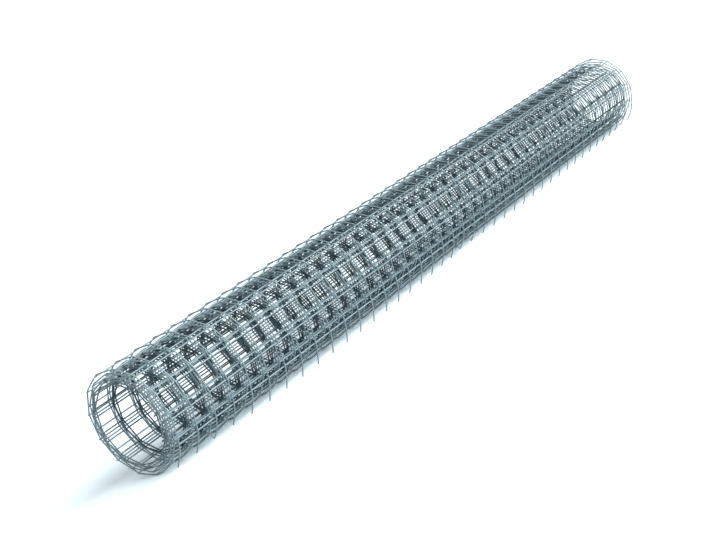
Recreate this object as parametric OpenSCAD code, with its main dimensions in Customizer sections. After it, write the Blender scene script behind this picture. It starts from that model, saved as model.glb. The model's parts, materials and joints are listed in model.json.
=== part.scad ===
// Roll of craft wire mesh: one length of welded square mesh, rolled up and left lying on its side.
// Millimetres. X runs along the roll, Y across the floor, Z is up, and the floor is Z = 0.
// The mesh is fine, so the rolled part is drawn as a tube with its turns cut into both ends.

/* [Mesh] */
// Side of one square, wire centre to wire centre
square_side = 12.7; // [10:0.1:16]
// Number of squares across the width of the mesh, which is the length of the roll
squares_across = 40; // [16:1:80]
// Diameter of the wire
wire_d = 0.7; // [0.4:0.05:0.8]
// How far the crossing wires sink into each other where they are welded
weld_sink = 0.1; // [0:0.02:0.2]

/* [Roll] */
// Diameter of the open bore
bore_d = 37; // [28:0.5:80]
// Number of turns in the wall of the roll
turns = 5.5; // [3:0.5:9]
// Distance from one turn to the next
turn_pitch = 1.45; // [1:0.05:2]
// Depth of the gaps that show between the turns at each end
gap_depth = 4; // [1:0.5:10]

/* [Loose end] */
// Angle about the axis, up from the far side of the floor, where the outermost turn starts to lift
lean_angle = 112; // [100:1:115]
// Angle about the axis where the outermost turn parts from the roll and the roll steps down
lift_angle = 132; // [130:1:140]
// How far the centre of the loose turn lies from the axis of the roll
spring_open = 4.4; // [3:0.1:6]
// How far below the outer surface of the roll the loose turn starts
tuck_in = 0.2; // [0.1:0.02:0.24]

/* [Hidden] */

$fn = 180;

// Lengths and radii that follow from the sizes above
roll_length = square_side * squares_across;
sheet_t = 2 * wire_d - weld_sink;
bore_r = bore_d / 2;
roll_r = bore_r + turns * turn_pitch;
turn_gap = turn_pitch - wire_d;

// The roll's outline is two half circles about centres a quarter of a turn's pitch off its axis
grow = turn_pitch / 4;
first_half_r = roll_r - 3 * grow;
second_half_r = roll_r - grow;

// The loose turn is an arc that leaves the roll and comes down to the floor
loose_r = roll_r + spring_open - tuck_in;
loose_centre = -spring_open * [cos(lean_angle), sin(lean_angle)];

// Height of the roll's axis over the floor, and the angle where the loose turn meets the floor
axis_z = first_half_r + grow * sin(lift_angle);
loose_end = 180 + asin((axis_z + loose_centre[1]) / loose_r);

// Sideways place of the axis that puts the middle of the part over the origin
far_side = second_half_r + grow * cos(lift_angle);
near_side = loose_centre[0] - loose_r;
axis_y = -(far_side + near_side) / 2;

// The gap between turns ends at the step, and starts half a turn in so the bore stays a full circle
gap_r0 = roll_r - wire_d - turn_gap / 2 - (turns - 1) * turn_pitch;
gap_halves = 2 * (turns - 1);

// Half of a flat ring about [0, 0], from the angle a on through half a turn
module half_ring(inner, outer, a)
  rotate(a) intersection() {
    difference() {
      circle(r = outer);
      if (inner > 0) circle(r = inner);
    }
    translate([-2 * outer, 0]) square([4 * outer, 2 * outer]);
  }

// Half a turn of the spiral: the first half starts at the step, the second half ends there
module half_turn(second, inner, outer)
  translate([second ? grow : -grow, 0]) half_ring(inner, outer, second ? 180 : 0);

// The end view of the roll, with the step that its outermost turn leaves behind
module roll_section() {
  half_turn(false, 0, first_half_r);
  half_turn(true, 0, second_half_r);
}

// The end view of the outermost turn where it has sprung away from the roll
module loose_section()
  rotate(-lift_angle) translate(loose_centre) intersection() {
    half_ring(loose_r - sheet_t, loose_r, lean_angle);
    half_ring(loose_r - sheet_t, loose_r, loose_end - 180);
  }

// The end view of the gap between the turns, a spiral of half turns of which the last ends at the step
module gap_section()
  for (i = [1 : gap_halves - 1]) {
    mid_r = gap_r0 + (i + 0.5) * turn_pitch / 2;
    half_turn((gap_halves - i) % 2 == 1, mid_r - turn_gap / 2, mid_r + turn_gap / 2);
  }

// The roll standing on one end, with its axis at the origin and its step at angle 0
module standing_roll()
  difference() {
    linear_extrude(height = roll_length) {
      roll_section();
      loose_section();
    }
    translate([0, 0, -1]) cylinder(r = bore_r, h = roll_length + 2);
    translate([0, 0, -1]) linear_extrude(height = gap_depth + 1) gap_section();
    translate([0, 0, roll_length - gap_depth]) linear_extrude(height = gap_depth + 1) gap_section();
  }

// The rolled mesh, lying along X with its loose end on the floor
module mesh_roll()
  color([0.62, 0.67, 0.69])
    translate([-roll_length / 2, axis_y, axis_z])
      rotate([90, 0, 90]) rotate(lift_angle) standing_roll();

mesh_roll();
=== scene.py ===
"""Roll of galvanised craft mesh: every wire and weld of the sheet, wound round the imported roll's bore."""

import json
import math
import random
from bisect import bisect

import bmesh
import bpy
from mathutils import Matrix, Vector, noise


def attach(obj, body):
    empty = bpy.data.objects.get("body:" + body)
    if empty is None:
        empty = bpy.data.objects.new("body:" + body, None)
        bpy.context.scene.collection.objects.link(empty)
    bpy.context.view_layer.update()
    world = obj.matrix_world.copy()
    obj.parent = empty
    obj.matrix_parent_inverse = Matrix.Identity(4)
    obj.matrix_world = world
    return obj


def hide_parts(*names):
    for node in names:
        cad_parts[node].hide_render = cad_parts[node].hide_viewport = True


MM = 0.001

# ---------------------------------------------------------------- frame

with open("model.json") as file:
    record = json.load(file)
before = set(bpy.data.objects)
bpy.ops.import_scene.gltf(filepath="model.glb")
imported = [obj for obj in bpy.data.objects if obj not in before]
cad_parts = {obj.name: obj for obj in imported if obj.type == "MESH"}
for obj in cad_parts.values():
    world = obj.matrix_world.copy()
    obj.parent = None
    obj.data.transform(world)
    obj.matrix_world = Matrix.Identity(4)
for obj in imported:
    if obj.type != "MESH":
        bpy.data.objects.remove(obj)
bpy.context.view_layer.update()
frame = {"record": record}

bore = next(m for m in frame["record"]["mounts"] if m["name"] == "bore")
AXIS_Y, AXIS_Z = bore["pos_m"][1] / MM, bore["pos_m"][2] / MM
BORE_R = bore["dims"]["r_mm"]
ROLL_LENGTH = bore["dims"]["length_mm"]

# ---------------------------------------------------------------- sizes, in millimetres and degrees

SQUARE = 12.7  # side of one square of the mesh, along the roll
SQUARE_ROUND = 12.685  # and the same side once it is bent round the roll
SQUARES_ACROSS = round(ROLL_LENGTH / SQUARE)
WIRE_D = 0.7
WELD_SINK = 0.1  # how far the crossing wires sink into each other
CROSSING = WIRE_D - WELD_SINK  # from the middle of one wire to the middle of the one it crosses
WELD_R = 0.47  # half the width of a weld spot
WELD_DEEP = 0.58  # half its depth, through both wires
SIDE_STUB = 1.2  # cut ends of the cross wires beyond the first and last line wire
TAIL_STUB = 11.9  # cut ends of the line wires beyond the last cross wire, nearly a whole square long
TAIL_STUB_TURNS = 22.0  # about how far round the roll those reach
INNER_STUB = 1.5  # cut ends of the line wires at the inner end of the sheet
STUB_VARIES = 0.35  # how much longer or shorter one cut end is than the next

# Angles about the axis are counted from the far side over the top. A place along the sheet is how far it has
# turned from its last cross wire inwards, and a place across it is counted from the near end of the roll.
TAIL_ANGLE = 210.6  # where the last cross wire lies
WOUND = 5.403 * 360  # how far the sheet winds inwards from there
INNER_R = 19.317  # middle of the line wires where the sheet starts, next to the bore
TURN_GAPS = (0.985, 0.702, 0.889, 1.294, 1.414, 1.333)  # from turn to turn on the tight side, inside out
LOOSE_SIDE = 156.0  # where the turns have spread furthest apart
SPREAD = 2.75  # how far they have spread there
SAG = 0.89  # how far the turns hang down at the bottom
BORE_CLEAR = CROSSING + WIRE_D / 2 + 0.02  # from the bore to the middle of the innermost line wires

HOOKS = (2, 20, 39)  # line wires whose ends are hooked into the turn under them
HOOK_BENDS = ((-21.5, 2.6), (-24.0, 1.7), (-23.8, 0.3))  # how far turned and how far inside each bend lies
BULGES = (1.35, 1.15)  # how far the last cross wire stands off between one hook and the next
BULGE_STARTS, BULGE_ENDS = 0.7, 0.4  # how many squares past one hook and before the next that is
BULGE_ROUND = 0.75  # lower is a fuller bulge with a flatter top
FLARE = 2.5  # how steeply the cut ends beyond it stand off further
SPRUNG = 0.45  # how far it stands off everywhere
LIFTS_OVER = 36.0  # how much of the last turn lifts with it
DRAWN_BACK = 1.5  # how much further back the last cross wire is for each millimetre that it stands off
FAR_LEAD = 3.0  # how much further round the tail reaches at the far end than at the near end
LEAD_FADES = 60.0  # over how much of the last turn those two fade away

BENT = 0.85  # how far the sheet bends only at its cross wires: 0 is an even curve, 1 is flat squares
BENDS_OUT = 0.45  # share of a square's rise by which its bends lie outside the even curve
STEPS = 4  # points that a line wire is given for each square

# Unevenness of the sheet: how far it is off, over what width across it, over how much of a turn along it, and
# which slice of the noise that follows.
WAVES = (0.2, 75.0, 70.0, 1.3)  # in and out
STRAYS = (0.3, 30.0, 110.0, 7.9)  # line wires one by one, sideways
WANDERS = (0.3, 500.0, 210.0, 4.4)  # whole turns as the sheet was rolled up, sideways


def smooth(t):
    t = min(max(t, 0.0), 1.0)
    return t * t * (3 - 2 * t)


def stand_off(across):
    """How far the tail stands away from the turn under it, across the sheet."""
    n = across / SQUARE
    for hook, next_hook, bulge in zip(HOOKS, HOOKS[1:], BULGES):
        starts, ends = hook + BULGE_STARTS, next_hook - BULGE_ENDS
        if starts < n < ends:
            return bulge * math.sin(math.pi * (n - starts) / (ends - starts)) ** BULGE_ROUND
    return 0.0


def wound_angle(across, turned):
    """The angle about the axis of a point of the sheet."""
    lead = FAR_LEAD * across / ROLL_LENGTH - DRAWN_BACK * stand_off(across)
    return TAIL_ANGLE - turned + lead * smooth(1 - turned / LEAD_FADES)


def wound_r(across, turned):
    """Distance from the axis to the middle of a line wire."""
    angle = wound_angle(across, turned)
    out = max(0.0, (WOUND - turned) / 360)
    under = int(out)
    tight = INNER_R + sum(TURN_GAPS[:under]) + (out - under) * TURN_GAPS[under]
    loose = SPREAD * out / 5 * (1 + math.cos(math.radians(angle - LOOSE_SIDE))) / 2
    hang = SAG * out / 5 * max(0.0, -math.sin(math.radians(angle))) ** 4
    lift = (stand_off(across) + SPRUNG) * max(0.0, 1 - turned / LIFTS_OVER) ** FLARE
    return max(tight + loose + hang + lift, BORE_R + BORE_CLEAR)


def cross_wire_places():
    """How far the sheet has turned at each of its cross wires, one square apart along it."""
    places, turned, run, step = [0.0], 0.0, 0.0, 0.1
    while turned < WOUND:
        rise = wound_r(0.0, turned + step) - wound_r(0.0, turned)
        run += math.hypot(wound_r(0.0, turned) * math.radians(step), rise)
        turned += step
        if run >= SQUARE_ROUND * len(places):
            places.append(turned)
    return places


places = cross_wire_places()


def bent_out(across, turned):
    """How far the sheet, bent at its cross wires and flatter between them, lies outside its even curve."""
    if not places[0] < turned < places[-1]:
        share = 0.0
    else:
        after = bisect(places, turned)
        share = (turned - places[after - 1]) / (places[after] - places[after - 1])
    rise = SQUARE**2 / (8 * wound_r(across, turned))
    return BENT * rise * (BENDS_OUT - 4 * share * (1 - share))


def off_by(unevenness, across, turned):
    """How far a point of the sheet is off by one kind of unevenness."""
    off, width, part_turn, slice_of_noise = unevenness
    return off * noise.noise(Vector((across / width, turned / part_turn, slice_of_noise)))


def spot(across, turned, inside=0.0):
    """A point of the sheet, across it and along it, that lies so far inside the middle of the line wires."""
    angle = math.radians(wound_angle(across, turned))
    r = wound_r(across, turned) + bent_out(across, turned) - inside + off_by(WAVES, across, turned)
    return Vector((
        across - ROLL_LENGTH / 2 + off_by(STRAYS, across, turned) + off_by(WANDERS, across, turned),
        AXIS_Y + r * math.cos(angle),
        max(AXIS_Z + r * math.sin(angle), WIRE_D / 2 + inside),
    ))


# ---------------------------------------------------------------- wires

cut = random.Random(5)


def line_wire(n):
    """The run of one line wire from its tail end to its inner end: each point, and how far it has turned."""
    across = SQUARE * n
    free = TAIL_STUB + STUB_VARIES * cut.uniform(-1, 1)
    rise = wound_r(across, -TAIL_STUB_TURNS) - wound_r(across, 0)
    reach = math.degrees(math.sqrt(free**2 - rise**2) / wound_r(across, -TAIL_STUB_TURNS / 2))
    stub = [-reach * i / STEPS for i in range(STEPS, 0, -1)]
    along = [a + (b - a) * i / STEPS for a, b in zip(places, places[1:]) for i in range(STEPS)]
    inner = places[-1] + math.degrees((INNER_STUB + STUB_VARIES * cut.uniform(-1, 1)) / INNER_R)
    run = [(spot(across, turned), turned) for turned in (*stub, *along, places[-1], inner)]
    if n in HOOKS:
        run = [(spot(across, *bend), 0.0) for bend in HOOK_BENDS] + run[1:]
    return run


def cross_wire(turned):
    """The run of one cross wire from end to end of the roll, inside the line wires."""
    halves = [SQUARE * n / 2 for n in range(2 * SQUARES_ACROSS + 1)]
    whole = (-SIDE_STUB, *halves, ROLL_LENGTH + SIDE_STUB)
    return [(spot(across, turned, CROSSING), turned) for across in whole]


def piece(name, mesh):
    """A finished mesh as an object at the origin, smooth but for its cut ends."""
    mesh.name = name
    mesh.polygons.foreach_set("use_smooth", [True] * len(mesh.polygons))
    mesh.set_sharp_from_angle(angle=math.radians(60))
    made = bpy.data.objects.new(name, mesh)
    bpy.context.scene.collection.objects.link(made)
    return made


def mark_turns(mesh, turned):
    """Note on each vertex how many turns of the mesh lie outside it."""
    each = len(mesh.vertices) // len(turned)
    marks = mesh.attributes.new("turns_in", "FLOAT", "POINT")
    marks.data.foreach_set("value", [max(t, 0.0) / 360 for t in turned for _ in range(each)])


def wires(name, runs):
    """Drawn wire along each run of points, as one closed mesh."""
    line = bpy.data.curves.new(name, "CURVE")
    line.dimensions = "3D"
    line.bevel_depth = WIRE_D / 2 * MM
    line.bevel_resolution = 2
    for run in runs:
        spline = line.splines.new("POLY")
        spline.points.add(len(run) - 1)
        spline.points.foreach_set("co", [c for point, _ in run for c in (*(point * MM), 1.0)])
    drawn = bpy.data.objects.new(name, line)
    bpy.context.scene.collection.objects.link(drawn)
    bpy.context.view_layer.update()
    mesh = bpy.data.meshes.new_from_object(drawn.evaluated_get(bpy.context.evaluated_depsgraph_get()))
    bpy.data.objects.remove(drawn)
    mark_turns(mesh, [turned for run in runs for _, turned in run])
    cut_ends = bmesh.new()
    cut_ends.from_mesh(mesh)
    bmesh.ops.holes_fill(cut_ends, edges=[edge for edge in cut_ends.edges if edge.is_boundary])
    bmesh.ops.recalc_face_normals(cut_ends, faces=cut_ends.faces)
    cut_ends.to_mesh(mesh)
    cut_ends.free()
    return piece(name, mesh)


def weld_spots():
    """The flattened knots where the crossing wires are melted together."""
    all_spots = bmesh.new()
    size = Matrix.Diagonal((WELD_R * MM, WELD_R * MM, WELD_DEEP * MM, 1))
    for n in range(SQUARES_ACROSS + 1):
        row = bmesh.new()
        for turned in places:
            middle = Matrix.Translation(spot(SQUARE * n, turned, CROSSING / 2) * MM)
            outwards = Matrix.Rotation(math.radians(wound_angle(SQUARE * n, turned) - 90), 4, "X")
            placed = middle @ outwards @ size
            bmesh.ops.create_uvsphere(row, u_segments=8, v_segments=4, radius=1.0, matrix=placed)
        row_mesh = bpy.data.meshes.new("row")
        row.to_mesh(row_mesh)
        row.free()
        all_spots.from_mesh(row_mesh)
        bpy.data.meshes.remove(row_mesh)
    mesh = bpy.data.meshes.new("weld_spots")
    all_spots.to_mesh(mesh)
    all_spots.free()
    mark_turns(mesh, places * (SQUARES_ACROSS + 1))
    return piece("weld_spots", mesh)


half = (SQUARES_ACROSS + 1) // 2
line_wires = [line_wire(n) for n in range(SQUARES_ACROSS + 1)]
pieces = [
    wires("line_wires_near", line_wires[:half]),
    wires("line_wires_far", line_wires[half:]),
    wires("cross_wires", [cross_wire(turned) for turned in places]),
    weld_spots(),
]

# ---------------------------------------------------------------- finishes

MIX_FIRST, MIX_SECOND, MIX_RESULT = 6, 7, 2  # where a Mix node has its colours


class Finish:
    """The nodes of one material, or of the studio's light."""

    def __init__(self, tree):
        self.tree = tree
        tree.nodes.clear()

    def node(self, kind, settings=None, sockets=None, output=0):
        """A new node: its settings, then the values or links of its sockets."""
        made = self.tree.nodes.new("ShaderNode" + kind)
        for key, value in (settings or {}).items():
            setattr(made, key, value)
        for key, value in (sockets or {}).items():
            if isinstance(value, Signal):
                self.tree.links.new(value.socket, made.inputs[key])
            else:
                made.inputs[key].default_value = value
        return Signal(self, made.outputs[output]) if made.outputs else None

    def mix(self, share, first, second):
        """One colour that turns into another as the share goes from 0 to 1."""
        colours = {"Factor": share, MIX_FIRST: first, MIX_SECOND: second}
        return self.node("Mix", {"data_type": "RGBA"}, colours, MIX_RESULT)


class Signal:
    """One output of a node, with Python's arithmetic."""

    def __init__(self, finish, socket):
        self.finish, self.socket = finish, socket

    def math(self, operation, first, second, clamped=False):
        return self.finish.node("Math", {"operation": operation, "use_clamp": clamped}, {0: first, 1: second})

    def __add__(self, other):
        return self.math("ADD", self, other)

    def __mul__(self, other):
        return self.math("MULTIPLY", self, other)

    def __sub__(self, other):
        return self.math("SUBTRACT", self, other)

    def __rsub__(self, other):
        return self.math("SUBTRACT", other, self)

    __radd__, __rmul__ = __add__, __mul__

    def __abs__(self):
        return self.math("ABSOLUTE", self, 0.0)

    def or_more(self, other):
        """The greater of the two."""
        return self.math("MAXIMUM", self, other)

    def share(self):
        """Kept between 0 and 1."""
        return self.math("ADD", self, 0.0, clamped=True)


def new_material(name):
    material = bpy.data.materials.new(name)
    material.use_nodes = True
    return material, Finish(material.node_tree)


BRIGHT = (0.39, 0.535, 0.59, 1)  # zinc's own colour, where no painted shade darkens it: the outermost turn and both ends of the roll
SHADED_AND_DULL = (0.056, 0.11, 0.137, 1)  # painted shade on the turns inside the outermost, and the colour of the zinc's dull, dark patches
STAIN = (0.245, 0.33, 0.355, 1)  # paler, chalky patches
CLOUDS, SPANGLE, RUNS = 55.0, 620.0, 2600.0  # how fine the cloudy patches, the spangle and the small runs are

SHADE_STARTS = 1.5  # how many turns in the painted shade starts
SHADE_GROWS = 0.6  # and how much more of it is painted for each turn further in
CLOUDY, SPECKLED = 0.8, 0.6  # how much the film follows the patches and the spangle
LIT_ENDS_LENGTH = 1.4 * SQUARE  # length at each end of the roll where painted light takes the painted shade away
LIT_ENDS_FADE = 60.0  # how sharply that stops
SHADE_LIFTED = 0.75  # share of the painted shade that is taken away there, as painted light
CHALK_FROM, CHALK_SHARP, CHALK_THICK = 0.62, 3.0, 0.5  # which patches are chalky, how sharp and how thick


def zinc(name, dulled, rough, grain):
    """Hot-dipped zinc with cloudy patches, fine spangle and small runs, and painted shade that darkens every
    turn inside the outermost.

    Near both ends of the roll painted light takes most of that painted shade away again.
    """
    material, finish = new_material(name)
    place = finish.node("TexCoord", output="Object")
    turns_in = finish.node("Attribute", {"attribute_name": "turns_in"}, output="Fac")
    drifting = {"Vector": place, "Scale": CLOUDS, "Detail": 3.0, "Roughness": 0.6}
    clouds = finish.node("TexNoise", None, drifting)
    spangle = finish.node("TexNoise", None, {"Vector": place, "Scale": SPANGLE, "Detail": 2.0})
    runs = finish.node("TexNoise", None, {"Vector": place, "Scale": RUNS, "Detail": 1.0})
    along = finish.node("SeparateXYZ", None, {"Vector": place})
    # painted light: near both ends of the roll most of the painted shade is taken away
    lit_ends = ((abs(along) - (ROLL_LENGTH / 2 - LIT_ENDS_LENGTH) * MM) * LIT_ENDS_FADE).share()
    # painted shade: darker for each turn further inside the roll
    depth_shade = (turns_in - SHADE_STARTS) * SHADE_GROWS * (1 - lit_ends * SHADE_LIFTED)
    shade_and_film = (depth_shade + (clouds - 0.5) * CLOUDY + (spangle - 0.5) * SPECKLED + dulled).share()
    chalk = ((clouds - CHALK_FROM) * CHALK_SHARP).share()
    # the painted shade and the dull patches both darken the zinc towards one colour
    colour = finish.mix(chalk * CHALK_THICK, finish.mix(shade_and_film, BRIGHT, SHADED_AND_DULL), STAIN)
    bump = finish.node("Bump", None, {"Strength": 0.5, "Distance": grain, "Height": runs + spangle})
    shader = finish.node("BsdfPrincipled", None, {
        "Base Color": colour,
        "Metallic": 0.2,
        "Roughness": (rough + (spangle - 0.5) * 0.3 + shade_and_film * 0.12).share(),
        "Specular IOR Level": 0.35,
        "Normal": bump,
    })
    finish.node("OutputMaterial", None, {"Surface": shader})
    return material


wire_coat = zinc("galvanised_wire", 0.0, 0.34, 0.00002)
weld_coat = zinc("galvanised_weld", 0.12, 0.44, 0.00004)
for made in pieces:
    made.data.materials.clear()
    made.data.materials.append(weld_coat if made.name == "weld_spots" else wire_coat)
    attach(made, "root")
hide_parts("mesh_roll")

# ---------------------------------------------------------------- floor, light and camera

scene = bpy.context.scene

SKY = 0.09  # strength of the world's light on what isn't shiny
PAPER = (0.43, 0.36, 0.34)  # colour of the floor for the light that falls back on the roll
WHITE = (1.23, 1.38, 1.44)  # how bright the floor looks where nothing shades it, with 1 as white
LAMPS = (  # name, direction that the light comes from, strength, how wide it looks in degrees
    ("key_softbox", (0.36, -0.7, 0.62), 2.6, 60),
    ("fill_softbox", (-0.4, -0.62, 0.68), 0.5, 60),
)
FLOOR_REACHES = 30.0  # metres each way, so that its edge is out of sight

LENS, FILM_WIDTH = 63.52, 36  # millimetres
CAMERA_FROM_AXIS = (-586.68, -450.68, 107.87)  # millimetres from the middle of the roll's axis
CAMERA_ROUND, CAMERA_ABOVE, CAMERA_LEANS = -138.813, 9.199, -25.128  # degrees


def seen_or_mirrored(finish):
    """1 for what the camera sees or metal mirrors, and 0 for light that falls on the roll."""
    seen = finish.node("LightPath", output="Is Camera Ray")
    mirrored = finish.node("LightPath", output="Is Glossy Ray")
    through = finish.node("LightPath", output="Is Transmission Ray")
    return seen.or_more(mirrored).or_more(through)


def paper():
    """White paper that looks brighter than it lights the roll, and keeps the roll's shadow."""
    falls = SKY + sum(power * Vector(way).normalized().z for _, way, power, _ in LAMPS) / math.pi
    material, finish = new_material("pale_floor")
    looks = finish.mix(seen_or_mirrored(finish), (*PAPER, 1), (*(part / falls for part in WHITE), 1))
    finish.node("OutputMaterial", None, {"Surface": finish.node("BsdfDiffuse", None, {"Color": looks})})
    return material


floor_shape = bmesh.new()
bmesh.ops.create_grid(floor_shape, x_segments=1, y_segments=1, size=FLOOR_REACHES)
floor_mesh = bpy.data.meshes.new("floor")
floor_shape.to_mesh(floor_mesh)
floor_shape.free()
floor = bpy.data.objects.new("floor", floor_mesh)
floor.data.materials.append(paper())
scene.collection.objects.link(floor)

world = bpy.data.worlds.new("studio")
scene.world = world
world.use_nodes = True
air = Finish(world.node_tree)
air.node("OutputWorld", None, {"Surface": air.node("Background", None, {
    "Color": (1, 1, 1, 1),
    "Strength": seen_or_mirrored(air) * (1 - SKY) + SKY,
})})


def lamp(name, way, power, width):
    """A far softbox: even light from one way, as wide as it looks from the roll."""
    light = bpy.data.lights.new(name, "SUN")
    light.energy = power
    light.angle = math.radians(width)
    made = bpy.data.objects.new(name, light)
    made.rotation_euler = (-Vector(way)).to_track_quat("-Z", "Y").to_euler()
    scene.collection.objects.link(made)
    return made


for setup in LAMPS:
    lamp(*setup)

eye = bpy.data.cameras.new("camera")
eye.sensor_width = FILM_WIDTH
eye.lens = LENS
eye.clip_start = 0.01
eye.clip_end = 100
camera = bpy.data.objects.new("camera", eye)
along, aside, up = CAMERA_FROM_AXIS
camera.location = Vector((along, AXIS_Y + aside, AXIS_Z + up)) * MM
way, above = math.radians(CAMERA_ROUND), math.radians(CAMERA_ABOVE)
looking = -Vector((math.cos(above) * math.cos(way), math.cos(above) * math.sin(way), math.sin(above)))
upright = looking.to_track_quat("-Z", "Y")
leaning = Matrix.Rotation(math.radians(CAMERA_LEANS), 3, "Z").to_quaternion()
camera.rotation_euler = (upright @ leaning).to_euler()
scene.collection.objects.link(camera)
scene.camera = camera
scene.view_settings.view_transform = "Standard"
